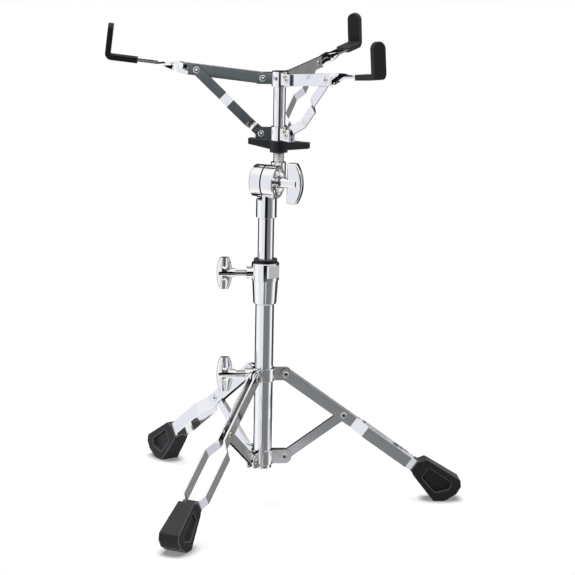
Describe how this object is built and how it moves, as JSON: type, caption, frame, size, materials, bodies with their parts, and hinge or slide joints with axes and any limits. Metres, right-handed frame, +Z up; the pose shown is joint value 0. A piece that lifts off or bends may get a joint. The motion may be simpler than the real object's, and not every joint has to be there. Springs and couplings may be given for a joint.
{
  "type": "snare drum stand",
  "caption": "Folding snare drum stand: double-braced strip-leg tripod, telescoping column with wing clamp, tilter and a basket of hinged rubber-tipped arms.",
  "frame": {"origin": "on the floor, on the axis of the lower tube", "axes": "+Z up along the column, +X out along the right leg, the picture looks along +Y"},
  "size_m": [0.4258, 0.4256, 0.5642],
  "materials": {
    "chrome": "polished chrome plate",
    "rivet_metal": "bright nickel-brass plate",
    "black_rubber": "satin moulded rubber",
    "black_plastic": "fine matte moulding",
    "dark_steel": "bright drawn and threaded"
  },
  "bodies": {
    "column_base": {"lower_tube": "chrome", "height_clamp": "chrome", "brace_collar_rivets": "rivet_metal", "brace_collar_back": "chrome", "brace_collar_left": "chrome", "brace_collar_front": "chrome"},
    "brace_right": {"brace_right": "chrome"},
    "leg_right": {"leg_right_strip_a": "chrome", "leg_right_strip_b": "chrome", "foot_right": "black_rubber", "leg_rivet_right": "rivet_metal"},
    "leg_collar": {"leg_collar_back": "chrome", "leg_collar_left": "chrome", "leg_collar_front": "chrome", "leg_collar_rivets": "rivet_metal", "collar_lock_nut": "chrome"},
    "leg_back": {"leg_back_strip_a": "chrome", "leg_back_strip_b": "chrome", "foot_back": "black_rubber", "leg_rivet_back": "rivet_metal"},
    "brace_back": {"brace_back": "chrome"},
    "leg_front": {"leg_front_strip_a": "chrome", "leg_front_strip_b": "chrome", "foot_front": "black_rubber", "leg_rivet_front": "rivet_metal"},
    "brace_front": {"brace_front": "chrome"},
    "collar_wing": {"collar_wing_handle": "chrome", "collar_wing_screw": "dark_steel"},
    "clamp_wing": {"clamp_wing_handle": "chrome", "clamp_wing_screw": "dark_steel"},
    "bushing": {"clamp_bushing": "black_plastic"},
    "column_top": {"upper_tube": "chrome", "tilter_lower_half": "chrome"},
    "tilter_top": {"tilter_upper_half": "chrome", "tilter_bolt": "chrome", "basket_rod": "chrome", "upper_hub": "chrome", "hub_set_screw": "dark_steel", "arm_hinge_rivets": "rivet_metal"},
    "tilter_nut": {"tilter_wing_nut": "chrome"},
    "lower_hub": {"lower_hub": "chrome", "strut_hinge_rivets": "rivet_metal"},
    "basket_nut": {"basket_nut": "black_plastic"},
    "arm_left": {"arm_left": "chrome", "sleeve_left": "black_rubber", "arm_rivet_left": "rivet_metal"},
    "strut_left": {"strut_left": "chrome", "strut_rivet_left": "rivet_metal"},
    "arm_front": {"arm_front": "chrome", "sleeve_front": "black_rubber", "arm_rivet_front": "rivet_metal"},
    "strut_front": {"strut_front": "chrome", "strut_rivet_front": "rivet_metal"},
    "arm_back": {"arm_back": "chrome", "sleeve_back": "black_rubber", "arm_rivet_back": "rivet_metal"},
    "strut_back": {"strut_back": "chrome", "strut_rivet_back": "rivet_metal"}
  },
  "joints": [
    {"name": "tripod_fold", "type": "hinge", "parent": "column_base", "child": "brace_right", "pos_m": [0.026, 0, 0.05491], "axis": [0, -1, 0], "range_deg": [-5, 48]},
    {"name": "leg_right_turn", "type": "hinge", "parent": "brace_right", "child": "leg_right", "pos_m": [0.09575, 0, 0.10522], "axis": [0, -1, 0], "range_deg": [-96, 10]},
    {"name": "collar_rise", "type": "hinge", "parent": "leg_right", "child": "leg_collar", "pos_m": [0.026, 0, 0.15552], "axis": [0, -1, 0], "range_deg": [-5, 48]},
    {"name": "leg_back_turn", "type": "hinge", "parent": "leg_collar", "child": "leg_back", "pos_m": [-0.013, 0.02252, 0.15552], "axis": [0.866, 0.5, 0], "range_deg": [-48, 5]},
    {"name": "brace_back_turn", "type": "hinge", "parent": "leg_back", "child": "brace_back", "pos_m": [-0.04788, 0.08292, 0.10522], "axis": [0.866, 0.5, 0], "range_deg": [-10, 96]},
    {"name": "leg_front_turn", "type": "hinge", "parent": "leg_collar", "child": "leg_front", "pos_m": [-0.013, -0.02252, 0.15552], "axis": [-0.866, 0.5, 0], "range_deg": [-48, 5]},
    {"name": "brace_front_turn", "type": "hinge", "parent": "leg_front", "child": "brace_front", "pos_m": [-0.04788, -0.08292, 0.10522], "axis": [-0.866, 0.5, 0], "range_deg": [-10, 96]},
    {"name": "collar_wing_turn", "type": "hinge", "parent": "leg_collar", "child": "collar_wing", "pos_m": [-0.0462, 0, 0.15552], "axis": [-1, 0, 0], "continuous": true},
    {"name": "clamp_wing_turn", "type": "hinge", "parent": "column_base", "child": "clamp_wing", "pos_m": [-0.048, 0, 0.27701], "axis": [-1, 0, 0], "continuous": true},
    {"name": "column_swivel", "type": "hinge", "parent": "column_base", "child": "bushing", "pos_m": [0, 0, 0.29001], "axis": [0, 0, 1], "continuous": true},
    {"name": "column_slide", "type": "slide", "parent": "bushing", "child": "column_top", "axis": [0, 0, 1], "range_m": [-0.045, 0.115]},
    {"name": "tilt", "type": "hinge", "parent": "column_top", "child": "tilter_top", "pos_m": [0, 0, 0.38551], "axis": [0.866, -0.5, 0], "range_deg": [-35, 90]},
    {"name": "tilter_nut_turn", "type": "hinge", "parent": "tilter_top", "child": "tilter_nut", "pos_m": [0.02295, -0.01325, 0.38551], "axis": [0.866, -0.5, 0], "continuous": true},
    {"name": "arm_left_lift", "type": "hinge", "parent": "tilter_top", "child": "arm_left", "pos_m": [-0.00478, 0.02773, 0.50251], "axis": [0.0436, 0.999, 0], "range_deg": [0, 30]},
    {"name": "arm_front_lift", "type": "hinge", "parent": "tilter_top", "child": "arm_front", "pos_m": [0.02487, 0.00884, 0.50251], "axis": [-0.887, -0.4617, 0], "range_deg": [0, 30]},
    {"name": "arm_back_lift", "type": "hinge", "parent": "tilter_top", "child": "arm_back", "pos_m": [0.02641, 0.04397, 0.50251], "axis": [0.8434, -0.5373, 0], "range_deg": [0, 30]},
    {"name": "lower_hub_slide", "type": "slide", "parent": "tilter_top", "child": "lower_hub", "axis": [0, 0, 1], "range_m": [0, 0.02464]},
    {"name": "strut_left_turn", "type": "hinge", "parent": "lower_hub", "child": "strut_left", "pos_m": [-0.00558, 0.02777, 0.43801], "axis": [0.0436, 0.999, 0], "range_deg": [0, 10.51]},
    {"name": "strut_front_turn", "type": "hinge", "parent": "lower_hub", "child": "strut_front", "pos_m": [0.02524, 0.00813, 0.43801], "axis": [-0.887, -0.4617, 0], "range_deg": [0, 10.51]},
    {"name": "strut_back_turn", "type": "hinge", "parent": "lower_hub", "child": "strut_back", "pos_m": [0.02684, 0.04464, 0.43801], "axis": [0.8434, -0.5373, 0], "range_deg": [0, 10.51]},
    {"name": "basket_nut_turn", "type": "hinge", "parent": "tilter_top", "child": "basket_nut", "pos_m": [0.0155, 0.02685, 0.42291], "axis": [0, 0, 1], "continuous": true}
  ],
  "couplings": [
    {"joint": "leg_right_turn", "follows": "tripod_fold", "ratio": -2},
    {"joint": "collar_rise", "follows": "tripod_fold", "ratio": 1},
    {"joint": "leg_back_turn", "follows": "tripod_fold", "ratio": -1},
    {"joint": "brace_back_turn", "follows": "tripod_fold", "ratio": 2},
    {"joint": "leg_front_turn", "follows": "tripod_fold", "ratio": -1},
    {"joint": "brace_front_turn", "follows": "tripod_fold", "ratio": 2},
    {"joint": "arm_front_lift", "follows": "arm_left_lift", "ratio": 1},
    {"joint": "arm_back_lift", "follows": "arm_left_lift", "ratio": 1},
    {"joint": "lower_hub_slide", "follows": "arm_left_lift", "m_per_rad": 0.047065},
    {"joint": "strut_left_turn", "follows": "arm_left_lift", "ratio": 0.3504},
    {"joint": "strut_front_turn", "follows": "arm_left_lift", "ratio": 0.3504},
    {"joint": "strut_back_turn", "follows": "arm_left_lift", "ratio": 0.3504}
  ]
}
